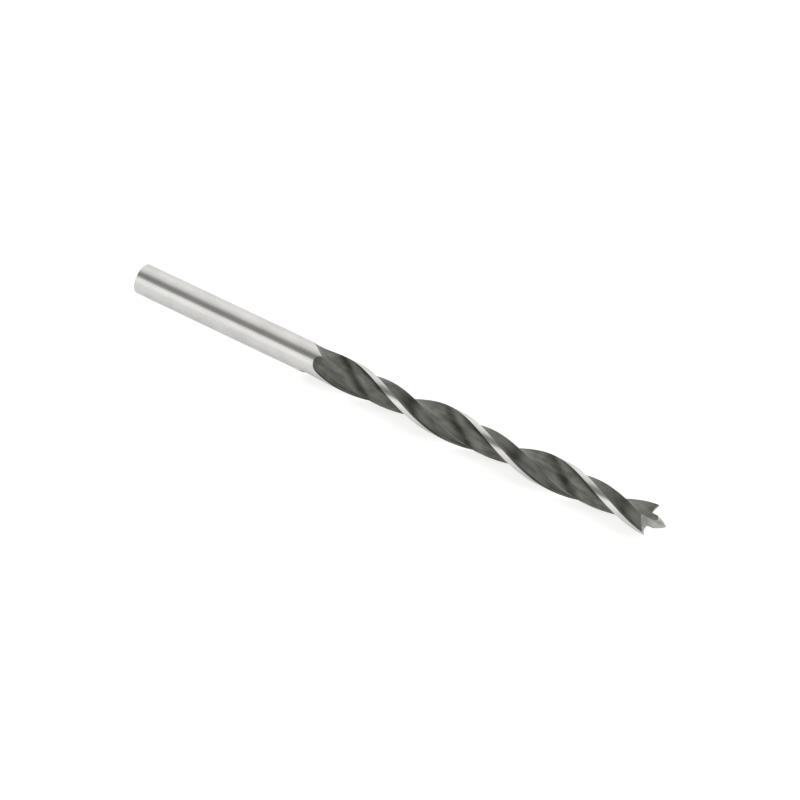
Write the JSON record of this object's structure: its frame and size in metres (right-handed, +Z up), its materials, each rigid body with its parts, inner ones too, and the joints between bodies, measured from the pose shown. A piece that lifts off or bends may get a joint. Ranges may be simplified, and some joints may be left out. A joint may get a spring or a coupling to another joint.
{
  "type": "brad point drill bit",
  "caption": "Wood drill bit with a plain round shank, helical flutes with bright ground lands, outlining spurs and a tall centre point.",
  "frame": {"origin": "on the surface the bit lies on, under the middle of its length", "axes": "+X along the bit's axis towards the centre point, +Z up, the bit lying on its side"},
  "size_m": [0.075, 0.004, 0.004],
  "materials": {
    "tool_steel": "ground bright on the shank and lands, darker in the flutes"
  },
  "bodies": {
    "root": {"drill_bit": "tool_steel"}
  },
  "joints": []
}
